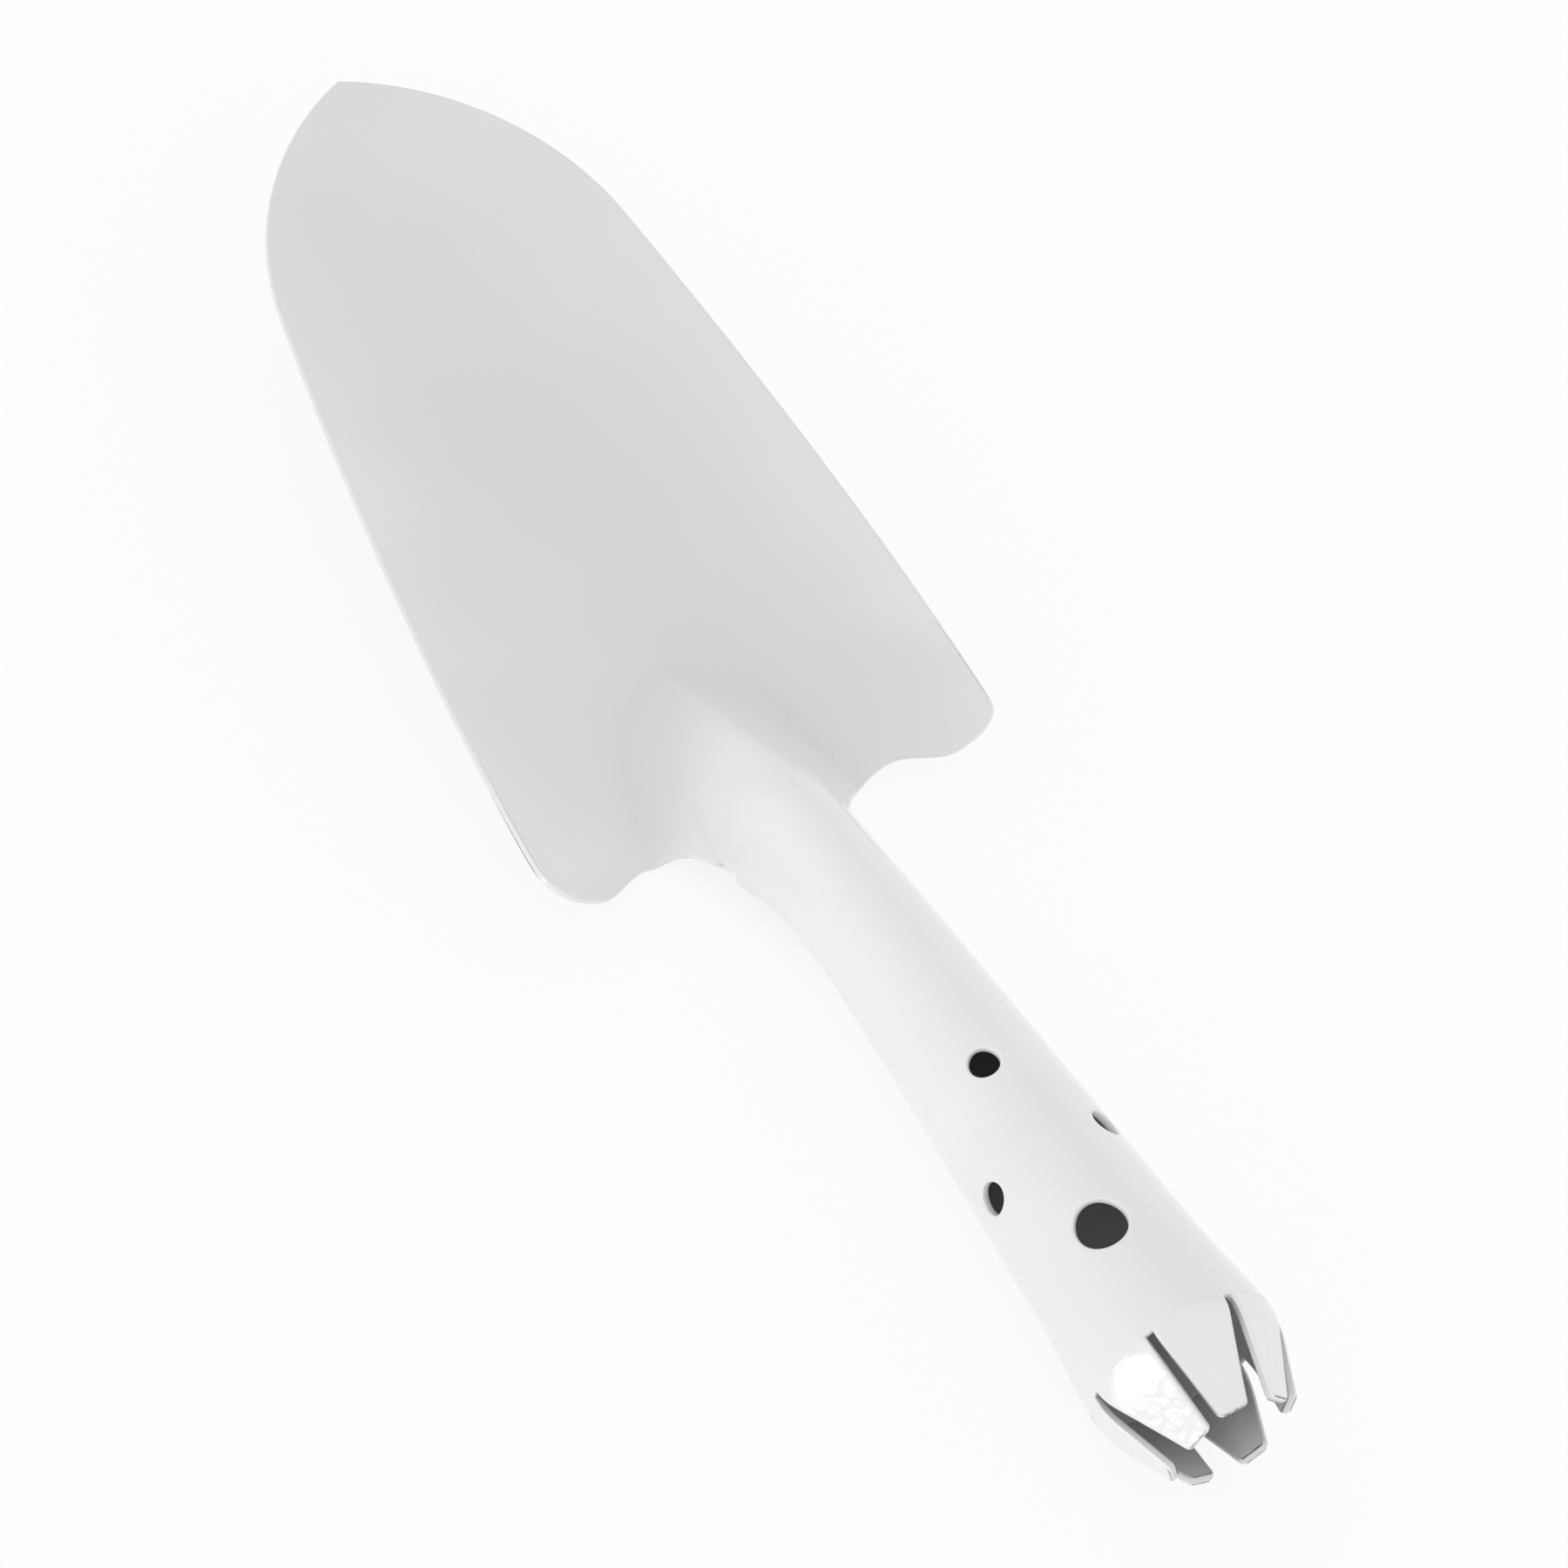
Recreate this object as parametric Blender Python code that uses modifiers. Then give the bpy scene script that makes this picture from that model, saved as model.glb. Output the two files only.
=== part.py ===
"""Garden hand trowel: a pressed steel blade welded to a rolled, tapered tube handle.

The trowel is drawn in its own frame, in metres. X runs along it to the blade's tip, Y points to its
left and Z to the side that holds the soil. X is zero on the line between the blade's shoulders, and
Z is zero in the plane of the blade's rim. The finished trowel is then laid down on its belly and its
heel, the way it rests on a bench.
"""

import math

import bmesh
import bpy
import numpy as np
from mathutils import Matrix, Vector

# Blade
BLADE_LENGTH = 0.159
SHOULDER_HALF_WIDTH = 0.0451
OGIVE_START = 0.115
LEFT_OGIVE_HALF_WIDTH = 0.0336
RIGHT_OGIVE_HALF_WIDTH = 0.0353
SIDE_CURVE = 1.65
BLADE_SHEET = 0.0012
DISH_DEPTH = 0.015
DISH_CURVE = 1.5

# Rear edge of the blade's wings. Each side has a shallow hollow beside the neck and then a lobe; the
# sizes are how far behind the shoulder line and how far from the middle line each of them lies.
LEFT_HOLLOW = (0.0028, 0.0212)
LEFT_LOBE = (0.0081, 0.0352)
LEFT_NECK_CURVE = 3.0
RIGHT_HOLLOW = (0.0004, 0.0270)
RIGHT_LOBE = (0.0050, 0.0370)
RIGHT_NECK_CURVE = 2.0
CORNER_CURVE = 2.5

# Ridge that runs from the blade's face up into the handle. At the neck its section is the tube's own
# with a skirt on each side, and toward its nose it narrows and turns into a plain arch.
RIDGE_LENGTH = 0.034
RIDGE_NECK_SLOPE = 0.4
RIDGE_NOSE_SLOPE = 0.6
RIDGE_HALF_WIDTH = 0.020
RIDGE_WIDEST_AT = -0.0026
RIDGE_NARROWING = 0.3
RIDGE_NARROWED_AT = 0.020
RIDGE_ARCHED_AT = 0.022
RIDGE_ARCH_CURVE = 1.2
SKIRT_TOP_SLOPE = 0.67
SKIRT_FOOT_SLOPE = 1.08

# Handle tube
HANDLE_RISE = math.radians(7.24)
HANDLE_HEIGHT = 0.00065
HANDLE_LENGTH = 0.1323
NECK_RADIUS = 0.0079
WAIST = 0.0011
WAIST_FADE = 0.022
HEEL_RADIUS = 0.0161
HEEL_FLARE = 0.0009
HEEL_FLARE_LENGTH = 0.020
TUBE_WALL = 0.0015
FLARE_WIDTH = 0.0092
FLARE_FADE = 0.0135
FLARE_FROM = math.radians(62)
FLARE_TO = math.radians(142)
FLARE_EASE = 0.12
LIP_RAKE = 0.018
LIP_RAKE_FROM = math.radians(118)

# Joint at the neck
JOINT_AT = 0.0092
JOINT_GROOVE = 0.0024
JOGGLE = 0.0018
TONGUE_LENGTH = 0.021
TONGUE_REACH = math.radians(89)
FIT_GAP = 0.00035
NECK_BEAD_RADIUS = 0.0005
NECK_BEAD_AT = 0.0107
NECK_BEAD_SINK = 0.00035
NECK_BEAD_REACH = math.radians(86.5)

# Seam along the underside of the tube
SEAM_WIDTH = 0.0016
SEAM_BEAD_RADIUS = 0.0005
SEAM_BEAD_STOP = 0.0015

# Crown of bent teeth at the open end
TOOTH_COUNT = 7
PATTERN_TURN = math.radians(-8.4)
TOOTH_LENGTHS = (0.0182, 0.0179, 0.0148, 0.0160, 0.0165, 0.0167, 0.0181)
TOOTH_TIP_WIDTH = 0.0052
SLOT_WIDTH = 0.0015
TOOTH_BENDS = [math.radians(angle) for angle in (33, 22.5, 16, 15, 18.3, 18, 25)]
BEND_SOFTNESS = 0.0012

# Punched holes: distance along the handle, angle round it from the top, and diameter
SMALL_HOLE = 0.0055
LARGE_HOLE = 0.0090
HOLES = [
    ("upper", 0.0741, math.radians(-19.5), SMALL_HOLE),
    ("right", 0.0921, math.radians(40.5), SMALL_HOLE),
    ("left", 0.0939, math.radians(-74.0), SMALL_HOLE),
    ("hanging", 0.1108, math.radians(-19.5), LARGE_HOLE),
]

# How finely the sheets are divided
NECK_COLUMNS = 9
WING_COLUMNS = 15
BLADE_ROWS = 36
ROW_EVENNESS = 0.35
STEER_FROM = 0.055
NECK_BLEND = 0.0115
TONGUE_ROWS = (0.2, 0.45, 0.7, 1.0)
TUBE_SPLIT = 0.045
TUBE_ROWS = (8, 10)
TOOTH_COLUMNS = 6
TOOTH_ROWS = (0.08, 0.17, 0.28, 0.42, 0.7, 1.0)
SECTION_SAMPLES = 60
EDGE_SAMPLES = 60
BEAD_STEPS = 36
HOLE_FACETS = 32


def smooth_step(start, end, value):
    """Rise from 0 to 1 between start and end, level at both."""
    t = np.clip((value - start) / (end - start), 0.0, 1.0)
    return t * t * (3.0 - 2.0 * t)


def smooth_max(first, second, width):
    """The larger of two heights, with a fillet where they cross."""
    near = max(width - abs(first - second), 0.0) / width
    return max(first, second) + near * near * width / 4.0


def hermite(start, start_slope, end, end_slope, span, t):
    """Height on a cubic between two heights whose slopes are known."""
    return ((2 * t**3 - 3 * t**2 + 1) * start + (t**3 - 2 * t**2 + t) * span * start_slope
            + (3 * t**2 - 2 * t**3) * end + (t**3 - t**2) * span * end_slope)


def start_collection(name):
    """An empty scene holding one named collection for the trowel and one for the cutters."""
    for old in list(bpy.data.objects):
        bpy.data.objects.remove(old)
    made = []
    for title in (name, "cutters"):
        collection = bpy.data.collections.new(title)
        bpy.context.scene.collection.children.link(collection)
        made.append(collection)
    return made


def metal(name, colour, roughness, metallic):
    material = bpy.data.materials.new(name)
    material.use_nodes = True
    shader = material.node_tree.nodes["Principled BSDF"]
    shader.inputs["Base Color"].default_value = (*colour, 1.0)
    shader.inputs["Roughness"].default_value = roughness
    shader.inputs["Metallic"].default_value = metallic
    return material


def add_object(name, mesh, material, collection):
    piece = bpy.data.objects.new(name, mesh)
    mesh.materials.append(material)
    collection.objects.link(piece)
    return piece


# Handle sections. The tube is a cone whose lower side flares out toward the blade. A section is
# written by its support: how far out the surface lies in the direction of its own normal.
def cone_radius(u):
    """The tube's even taper, drawn in at the neck and opened a little in front of the crown."""
    taper = NECK_RADIUS + (HEEL_RADIUS - NECK_RADIUS) * u / HANDLE_LENGTH
    taper -= WAIST * math.exp((JOINT_AT - u) / WAIST_FADE)
    return taper + HEEL_FLARE * float(smooth_step(-HEEL_FLARE_LENGTH, 0.0, u - HANDLE_LENGTH))


def flare(u):
    return FLARE_WIDTH * math.exp(-max(u, 0.0) / FLARE_FADE) / math.exp(-JOINT_AT / FLARE_FADE)


def flare_share(turn):
    """How much of the flare an angle from the top has, and how fast that share grows with it."""
    ahead = (turn - FLARE_FROM) / (FLARE_TO - FLARE_FROM)
    eased = smooth_max(ahead, 0.0, FLARE_EASE)
    if eased >= 1.0:
        return 1.0, 0.0
    speed = min(max((ahead + FLARE_EASE) / (2.0 * FLARE_EASE), 0.0), 1.0)
    speed *= math.pi / 2.0 / (FLARE_TO - FLARE_FROM)
    return math.sin(math.pi / 2.0 * eased), math.cos(math.pi / 2.0 * eased) * speed


def section(u, angle, inset=0.0):
    """Side and height of the tube's surface at a distance along the handle, seen along its axis."""
    turn = abs(angle)
    share, share_slope = flare_share(turn)
    reach = cone_radius(u) + flare(u) * share - inset
    reach_slope = flare(u) * share_slope
    side = reach * math.sin(turn) + reach_slope * math.cos(turn)
    height = reach * math.cos(turn) - reach_slope * math.sin(turn)
    return math.copysign(side, angle), height


def on_axis(u, side, height):
    """A point beside the handle's axis, in the trowel's frame. Positive side is the trowel's left."""
    along = Vector((-math.cos(HANDLE_RISE), 0.0, math.sin(HANDLE_RISE)))
    up = Vector((math.sin(HANDLE_RISE), 0.0, math.cos(HANDLE_RISE)))
    return Vector((0.0, 0.0, HANDLE_HEIGHT)) + along * u + up * height + Vector((0.0, side, 0.0))


def on_tube(u, angle, inset=0.0):
    """A point on the tube's surface. Positive angles turn from the top to the trowel's right."""
    side, height = section(u, angle, inset)
    return on_axis(u, -side, height)


def lip(angle):
    """Where the tube starts: square across its top and sides, raked back underneath."""
    return JOINT_AT + JOINT_GROOVE + LIP_RAKE * float(smooth_step(LIP_RAKE_FROM, math.pi, abs(angle)))


def ring_place(ring, angle):
    """Distance along the handle of a ring of the tube's grid, which straightens behind the lip."""
    if ring <= TUBE_ROWS[0]:
        return lip(angle) + (TUBE_SPLIT - lip(angle)) * ring / TUBE_ROWS[0]
    return TUBE_SPLIT + (HANDLE_LENGTH - TUBE_SPLIT) * (ring - TUBE_ROWS[0]) / TUBE_ROWS[1]


# Blade surface
def half_width(x, side):
    """The blade's width on one side: a nearly straight edge, then an arc that meets the tip."""
    if x <= 0.0:
        return SHOULDER_HALF_WIDTH
    ogive_half_width = LEFT_OGIVE_HALF_WIDTH if side > 0.0 else RIGHT_OGIVE_HALF_WIDTH
    fall = SHOULDER_HALF_WIDTH - ogive_half_width
    if x < OGIVE_START:
        return SHOULDER_HALF_WIDTH - fall * (x / OGIVE_START) ** SIDE_CURVE
    lean = math.atan(fall * SIDE_CURVE / OGIVE_START)
    to_tip = Vector((BLADE_LENGTH - OGIVE_START, -ogive_half_width))
    across = abs(to_tip.x * -math.sin(lean) - to_tip.y * math.cos(lean))
    radius = to_tip.length_squared / (2.0 * across)
    centre_x = OGIVE_START - radius * math.sin(lean)
    centre_y = ogive_half_width - radius * math.cos(lean)
    return max(centre_y + math.sqrt(max(radius**2 - (x - centre_x) ** 2, 0.0)), 0.0)


def dish_height(x, y):
    """The hollow face: deepest at the rear and on the middle line, level with the rim at the edge."""
    depth = DISH_DEPTH * (1.0 - max(x / BLADE_LENGTH, 0.0) ** DISH_CURVE)
    share = min(abs(y) / max(half_width(x, y), 1e-6), 1.0)
    return -depth * (1.0 - share * share)


def ridge_top(x):
    """Top line of the ridge, from the handle's top line down to its nose on the blade's face."""
    joint = on_tube(JOINT_AT, 0.0)
    span = RIDGE_LENGTH - joint.x
    t = min(max((x - joint.x) / span, 0.0), 1.0)
    nose = dish_height(RIDGE_LENGTH, 0.0)
    top = hermite(joint.z, -RIDGE_NECK_SLOPE, nose, -RIDGE_NOSE_SLOPE, span, t)
    return top - max(x - RIDGE_LENGTH, 0.0) * RIDGE_NOSE_SLOPE


def ridge_section():
    """The ridge at the neck, as shares of its half width and of its rise above the hollow face."""
    axis_height = on_tube(JOINT_AT, 0.0).z - cone_radius(JOINT_AT)
    sides = []
    rises = []
    for angle in np.linspace(0.0, TONGUE_REACH, SECTION_SAMPLES):
        side, height = section(JOINT_AT, angle)
        sides.append(side)
        rises.append(axis_height + height - dish_height(0.0, side))
    skirt_start, skirt_rise = sides[-1], rises[-1]
    span = RIDGE_HALF_WIDTH - skirt_start
    for t in np.linspace(0.0, 1.0, SECTION_SAMPLES)[1:]:
        sides.append(skirt_start + span * t)
        rises.append(hermite(skirt_rise, -SKIRT_TOP_SLOPE, 0.0, -SKIRT_FOOT_SLOPE, span, t))
    return np.array(sides) / RIDGE_HALF_WIDTH, np.array(rises) / rises[0]


SECTION_SIDES, SECTION_RISES = ridge_section()


def blade_height(x, y):
    """The hollow face, with the ridge standing on it."""
    face = dish_height(x, y)
    rise = ridge_top(x) - dish_height(x, 0.0)
    if x >= RIDGE_LENGTH or rise <= 0.0:
        return face
    forward = max(x - RIDGE_WIDEST_AT, 0.0) / (RIDGE_LENGTH - RIDGE_WIDEST_AT)
    share = abs(y) / (RIDGE_HALF_WIDTH * math.sqrt(1.0 - forward * forward))
    if share >= 1.0:
        return face
    joint_x = on_tube(JOINT_AT, 0.0).x
    narrowed = 1.0 - RIDGE_NARROWING * smooth_step(joint_x, RIDGE_NARROWED_AT, x)
    neck = np.interp(share / narrowed, SECTION_SIDES, SECTION_RISES)
    arch = (1.0 - share * share) ** RIDGE_ARCH_CURVE
    return face + rise * float(neck + (arch - neck) * smooth_step(joint_x, RIDGE_ARCHED_AT, x))


def rear_edge(side, hollow, lobe, neck_curve):
    """A wing's rear edge, from the neck through the hollow and round the lobe to the outer corner."""
    neck = on_tube(JOINT_AT, -TONGUE_REACH)
    shares = np.linspace(0.0, 1.0, EDGE_SAMPLES)
    line = []
    for share in shares:
        behind = hollow[0] + (-neck.x - hollow[0]) * (1.0 - share) ** neck_curve
        line.append((-behind, neck.y + (hollow[1] - neck.y) * share))
    for share in shares[1:]:
        behind = hollow[0] + (lobe[0] - hollow[0]) * float(smooth_step(0.0, 1.0, share))
        line.append((-behind, hollow[1] + (lobe[1] - hollow[1]) * share))
    for share in shares[1:-1]:
        turn = share * math.pi / 2.0
        behind = lobe[0] * math.cos(turn) ** (2.0 / CORNER_CURVE)
        outward = math.sin(turn) ** (2.0 / CORNER_CURVE)
        line.append((-behind, lobe[1] + (SHOULDER_HALF_WIDTH - lobe[1]) * outward))
    line.append((0.0, SHOULDER_HALF_WIDTH))
    line = np.array(line)
    steps = np.concatenate(([0.0], np.cumsum(np.linalg.norm(np.diff(line, axis=0), axis=1))))
    places = np.linspace(0.0, steps[-1], WING_COLUMNS + 1)
    along = np.interp(places, steps, line[:, 0])
    outward = np.interp(places, steps, line[:, 1])
    return [(float(x), side * float(y)) for x, y in zip(along, outward)]


def rear_points(side, hollow, lobe, neck_curve):
    """The blade's rear end on one side: the curved joint at the neck, then the wing's free edge."""
    points = []
    for index in range(1, NECK_COLUMNS + 1):
        points.append(on_tube(JOINT_AT, -side * TONGUE_REACH * index / NECK_COLUMNS))
    for x, y in rear_edge(side, hollow, lobe, neck_curve)[1:]:
        points.append(Vector((x, y, blade_height(x, y))))
    return points


def build_blade(material, collection):
    """The pressed sheet: the hollow face, the ridge, and the tongue that goes into the handle."""
    left = rear_points(1, LEFT_HOLLOW, LEFT_LOBE, LEFT_NECK_CURVE)
    right = rear_points(-1, RIGHT_HOLLOW, RIGHT_LOBE, RIGHT_NECK_CURVE)
    ends = right[::-1] + [on_tube(JOINT_AT, 0.0)] + left
    half = NECK_COLUMNS + WING_COLUMNS

    mesh = bpy.data.meshes.new("blade")
    grid = bmesh.new()
    lines = []
    tip = grid.verts.new((BLADE_LENGTH, 0.0, dish_height(BLADE_LENGTH, 0.0)))
    for row in range(1, BLADE_ROWS + 1):
        even = row / BLADE_ROWS
        eased = (1.0 - math.cos(math.pi * even)) / 2.0
        share = eased + (even - eased) * ROW_EVENNESS
        line = []
        for column, end in enumerate(ends):
            x = BLADE_LENGTH + (end.x - BLADE_LENGTH) * share
            steer = smooth_step(STEER_FROM, end.x, x) if x < STEER_FROM else 0.0
            front_share = (column - half) / half
            rear_share = end.y / SHOULDER_HALF_WIDTH
            y = half_width(x, end.y) * (front_share + (rear_share - front_share) * steer)
            miss = end.z - blade_height(end.x, end.y)
            z = blade_height(x, y) + miss * smooth_step(end.x + NECK_BLEND, end.x, x)
            line.append(grid.verts.new((x, y, z)))
        lines.append(line)
    for column in range(2 * half):
        grid.faces.new((tip, lines[0][column + 1], lines[0][column]))
    for front, back in zip(lines, lines[1:]):
        for column in range(2 * half):
            grid.faces.new((front[column], front[column + 1], back[column + 1], back[column]))

    step_in = TUBE_WALL + FIT_GAP
    neck_rows = [(JOINT_AT + JOGGLE / 2.0, step_in / 2.0), (JOINT_AT + JOGGLE, step_in)]
    for share in TONGUE_ROWS:
        neck_rows.append((JOINT_AT + JOGGLE + TONGUE_LENGTH * share, step_in))
    front = lines[-1][WING_COLUMNS:WING_COLUMNS + 2 * NECK_COLUMNS + 1]
    for u, inset in neck_rows:
        back = []
        for column in range(-NECK_COLUMNS, NECK_COLUMNS + 1):
            point = on_tube(u, -TONGUE_REACH * column / NECK_COLUMNS, inset)
            back.append(grid.verts.new(point))
        for column in range(2 * NECK_COLUMNS):
            grid.faces.new((front[column], front[column + 1], back[column + 1], back[column]))
        front = back
    bmesh.ops.recalc_face_normals(grid, faces=grid.faces)
    top = max(grid.faces, key=lambda face: face.calc_area())
    if top.normal.z < 0.0:
        bmesh.ops.reverse_faces(grid, faces=grid.faces)
    grid.to_mesh(mesh)
    grid.free()
    mesh.shade_smooth()
    blade = add_object("blade", mesh, material, collection)
    sheet = blade.modifiers.new("Sheet", "SOLIDIFY")
    sheet.thickness = BLADE_SHEET
    sheet.offset = -1.0
    sheet.use_even_offset = True
    return blade


# Crown
def tooth_angle(index):
    return PATTERN_TURN + index * math.tau / TOOTH_COUNT


def tooth_point(index, along, across):
    """A point on a tooth: along from its root, across from -1 to 1 over its width."""
    bend = TOOTH_BENDS[index]
    heel = cone_radius(HANDLE_LENGTH)
    root_half = (math.tau * heel / TOOTH_COUNT - SLOT_WIDTH) / 2.0
    half = root_half + (TOOTH_TIP_WIDTH / 2.0 - root_half) * along / TOOTH_LENGTHS[index]
    u = HANDLE_LENGTH + along * math.cos(bend)
    flat = heel - along * math.sin(bend)
    turn = across * half / heel
    if along > 0.0:
        turn = math.atan(math.tan(turn) * heel / flat)
    on_cone = cone_radius(u)
    on_flat = flat / math.cos(turn)
    radius = -smooth_max(-on_cone, -on_flat, BEND_SOFTNESS) if along > 0.0 else on_cone
    angle = tooth_angle(index) + turn
    return on_axis(u, -radius * math.sin(angle), radius * math.cos(angle))


def build_tube(material, collection):
    """The rolled sheet, open along its seam, with its free end cut into teeth and bent in."""
    across = TOOTH_COLUMNS
    slot_half = SLOT_WIDTH / 2.0 / cone_radius(HANDLE_LENGTH)
    pitch = math.tau / TOOTH_COUNT
    seam_after = TOOTH_COUNT // 2

    mesh = bpy.data.meshes.new("handle_tube")
    sheet = bmesh.new()
    rings = []
    for row in range(sum(TUBE_ROWS) + 1):
        seam_u = ring_place(row, math.pi)
        reach = cone_radius(seam_u) + flare(seam_u)
        seam_half = math.asin(SEAM_WIDTH / 2.0 / reach)
        ring = []
        for tooth in range(TOOTH_COUNT):
            low = -seam_half if tooth == seam_after + 1 else -slot_half
            high = seam_half if tooth == seam_after else slot_half
            first = tooth_angle(tooth) - pitch / 2.0 - low
            last = tooth_angle(tooth) + pitch / 2.0 - high
            points = []
            for step in range(across + 1):
                angle = first + (last - first) * step / across
                angle = (angle + math.pi) % math.tau - math.pi
                points.append(sheet.verts.new(on_tube(ring_place(row, angle), angle)))
            ring.append(points)
        rings.append(ring)
    for front, back in zip(rings, rings[1:]):
        for tooth in range(TOOTH_COUNT):
            for step in range(across):
                sheet.faces.new((front[tooth][step], front[tooth][step + 1],
                                 back[tooth][step + 1], back[tooth][step]))
            if tooth != seam_after:
                after = (tooth + 1) % TOOTH_COUNT
                sheet.faces.new((front[tooth][-1], front[after][0], back[after][0], back[tooth][-1]))
    for tooth in range(TOOTH_COUNT):
        front = rings[-1][tooth]
        for along in TOOTH_ROWS:
            back = []
            for step in range(across + 1):
                point = tooth_point(tooth, along * TOOTH_LENGTHS[tooth], 2.0 * step / across - 1.0)
                back.append(sheet.verts.new(point))
            for step in range(across):
                sheet.faces.new((front[step], front[step + 1], back[step + 1], back[step]))
            front = back
    bmesh.ops.recalc_face_normals(sheet, faces=sheet.faces)
    top = max(sheet.verts, key=lambda vertex: vertex.co.z)
    if top.link_faces[0].normal.z < 0.0:
        bmesh.ops.reverse_faces(sheet, faces=sheet.faces)
    sheet.to_mesh(mesh)
    sheet.free()
    mesh.shade_smooth()
    tube = add_object("handle_tube", mesh, material, collection)
    wall = tube.modifiers.new("Wall", "SOLIDIFY")
    wall.thickness = TUBE_WALL
    wall.offset = -1.0
    wall.use_even_offset = True
    return tube


def punch_hole(tube, frame, name, u, angle, diameter, cutters):
    """Cut one round hole square through the tube's wall."""
    depth = cone_radius(u) + TUBE_WALL
    bpy.ops.mesh.primitive_cylinder_add(vertices=HOLE_FACETS, radius=diameter / 2.0, depth=depth)
    cutter = bpy.context.object
    cutter.name = "hole_" + name
    for collection in list(cutter.users_collection):
        collection.objects.unlink(cutter)
    cutters.objects.link(cutter)
    wall = on_tube(u, angle)
    outward = (wall - on_axis(u, 0.0, 0.0)).normalized()
    cutter.parent = frame
    cutter.matrix_local = Matrix.LocRotScale(wall, outward.to_track_quat("Z", "Y"), None)
    cutter.hide_render = True
    cutter.display_type = "WIRE"
    cut = tube.modifiers.new("Punched " + name, "BOOLEAN")
    cut.operation = "DIFFERENCE"
    cut.solver = "EXACT"
    cut.object = cutter


def build_bead(name, points, radius, material, collection):
    """A weld bead: a round rod that follows the joint it fills."""
    curve = bpy.data.curves.new(name, "CURVE")
    curve.dimensions = "3D"
    curve.bevel_depth = radius
    curve.bevel_resolution = 2
    curve.use_fill_caps = True
    spline = curve.splines.new("POLY")
    spline.points.add(len(points) - 1)
    for target, point in zip(spline.points, points):
        target.co = (*point, 1.0)
    bead = bpy.data.objects.new(name, curve)
    curve.materials.append(material)
    collection.objects.link(bead)
    return bead


def neck_bead_points():
    angles = np.linspace(-NECK_BEAD_REACH, NECK_BEAD_REACH, BEAD_STEPS + 1)
    return [on_tube(NECK_BEAD_AT, angle, NECK_BEAD_SINK) for angle in angles]


def seam_bead_points():
    first = lip(math.pi) + SEAM_BEAD_RADIUS
    last = HANDLE_LENGTH - SEAM_BEAD_STOP
    angle = PATTERN_TURN + math.pi
    return [on_tube(u, angle, SEAM_BEAD_RADIUS) for u in np.linspace(first, last, BEAD_STEPS)]


def lay_down(frame, pieces):
    """Turn and lift the trowel until its belly and its heel both touch the ground."""
    bpy.context.view_layer.update()
    graph = bpy.context.evaluated_depsgraph_get()
    clouds = []
    for piece in pieces:
        mesh = piece.evaluated_get(graph).to_mesh()
        cloud = np.empty(len(mesh.vertices) * 3)
        mesh.vertices.foreach_get("co", cloud)
        clouds.append(cloud.reshape(-1, 3))
    points = np.concatenate(clouds)
    front = points[points[:, 0] > -TUBE_SPLIT]
    rear = points[points[:, 0] <= -TUBE_SPLIT]
    low, high = math.radians(-20), math.radians(20)
    for _ in range(50):
        tilt = (low + high) / 2.0
        turned = [side[:, 2] * math.cos(tilt) - side[:, 0] * math.sin(tilt) for side in (front, rear)]
        if turned[0].min() < turned[1].min():
            high = tilt
        else:
            low = tilt
    across = points[:, 0] * math.cos(tilt) + points[:, 2] * math.sin(tilt)
    height = points[:, 2] * math.cos(tilt) - points[:, 0] * math.sin(tilt)
    frame.rotation_euler = (0.0, tilt, 0.0)
    frame.location = (-(across.min() + across.max()) / 2.0, 0.0, -height.min())


def main():
    collection, cutters = start_collection("garden_trowel")
    frame = bpy.data.objects.new("trowel_frame", None)
    collection.objects.link(frame)
    blade_enamel = metal("blade_enamel", (0.84, 0.84, 0.83), 0.32, 0.0)
    handle_enamel = metal("handle_enamel", (0.86, 0.86, 0.85), 0.30, 0.0)
    neck_enamel = metal("neck_weld_enamel", (0.85, 0.85, 0.84), 0.38, 0.0)
    seam_enamel = metal("seam_weld_enamel", (0.83, 0.83, 0.82), 0.42, 0.0)
    blade = build_blade(blade_enamel, collection)
    tube = build_tube(handle_enamel, collection)
    neck = build_bead("neck_weld", neck_bead_points(), NECK_BEAD_RADIUS, neck_enamel, collection)
    seam = build_bead("seam_weld", seam_bead_points(), SEAM_BEAD_RADIUS, seam_enamel, collection)
    for piece in (blade, tube, neck, seam):
        piece.parent = frame
    for name, u, angle, diameter in HOLES:
        punch_hole(tube, frame, name, u, angle, diameter, cutters)
    lay_down(frame, (blade, tube))


main()
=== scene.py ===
"""The looks of a garden hand trowel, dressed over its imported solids.

All pieces are steel sheet under one coat of light, glossy enamel. They are drawn in the trowel's own
frame, in metres: X runs to the blade's tip, Y to the trowel's left and Z to the side that holds the
soil, with X zero between the shoulders and Z zero in the plane of the blade's rim.
"""

import math

import bmesh
import bpy
import numpy as np
from mathutils import Matrix, Vector


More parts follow.
